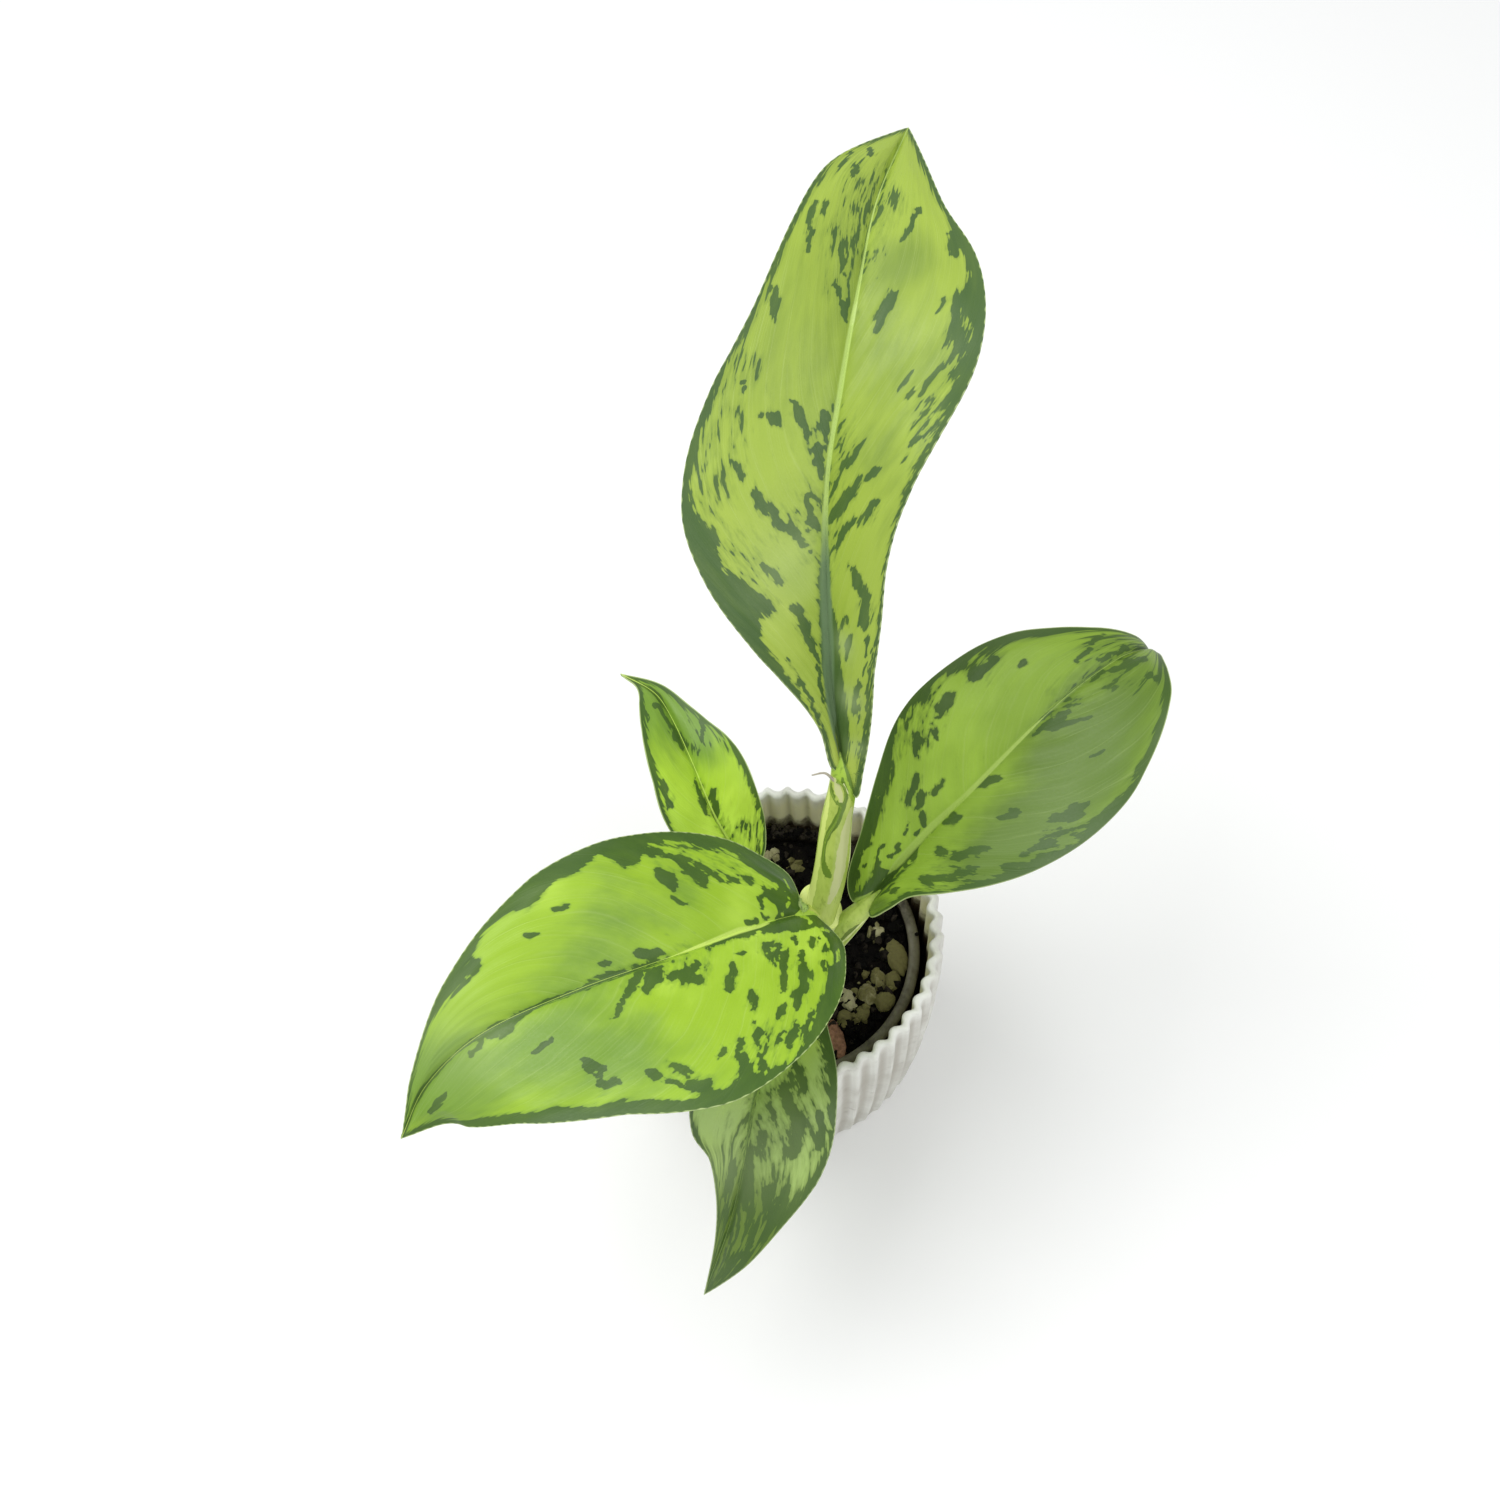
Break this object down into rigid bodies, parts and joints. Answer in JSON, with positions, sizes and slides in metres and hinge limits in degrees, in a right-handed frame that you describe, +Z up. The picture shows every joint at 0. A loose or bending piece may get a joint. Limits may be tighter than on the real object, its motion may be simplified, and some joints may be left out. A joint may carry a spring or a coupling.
{
  "type": "potted house plant",
  "caption": "Young dumb cane with broad mottled leaves on sheathed stalks, in a thin nursery pot of soil inside a round fluted outer pot with a flat base.",
  "frame": {"origin": "middle of the outer pot's flat base, on the surface it stands on", "axes": "+Z up along the pot's axis, +X to the right and +Y away from a viewer who has the biggest leaf at the back"},
  "size_m": [0.188, 0.222, 0.2216],
  "materials": {
    "pot_plastic": "satin",
    "liner_plastic": "matte",
    "potting_soil": "matte",
    "stem_skin": "satin",
    "bark": "matte",
    "pumice": "matte",
    "leaf_top": "satin",
    "leaf_right": "satin",
    "leaf_left": "satin",
    "leaf_back": "satin",
    "leaf_front": "satin"
  },
  "bodies": {
    "root": {"outer_pot": "pot_plastic", "nursery_pot": "liner_plastic", "soil": "potting_soil", "stem": "stem_skin", "bark_chip": "bark", "leaf_top": "leaf_top", "leaf_right": "leaf_right", "leaf_left": "leaf_left", "leaf_back": "leaf_back", "leaf_front": "leaf_front", "pumice_1": "pumice", "pumice_2": "pumice", "pumice_3": "pumice", "pumice_4": "pumice", "pumice_5": "pumice", "pumice_6": "pumice", "pumice_7": "pumice", "pumice_8": "pumice", "pumice_9": "pumice", "pumice_10": "pumice", "pumice_11": "pumice", "pumice_12": "pumice"}
  },
  "joints": []
}
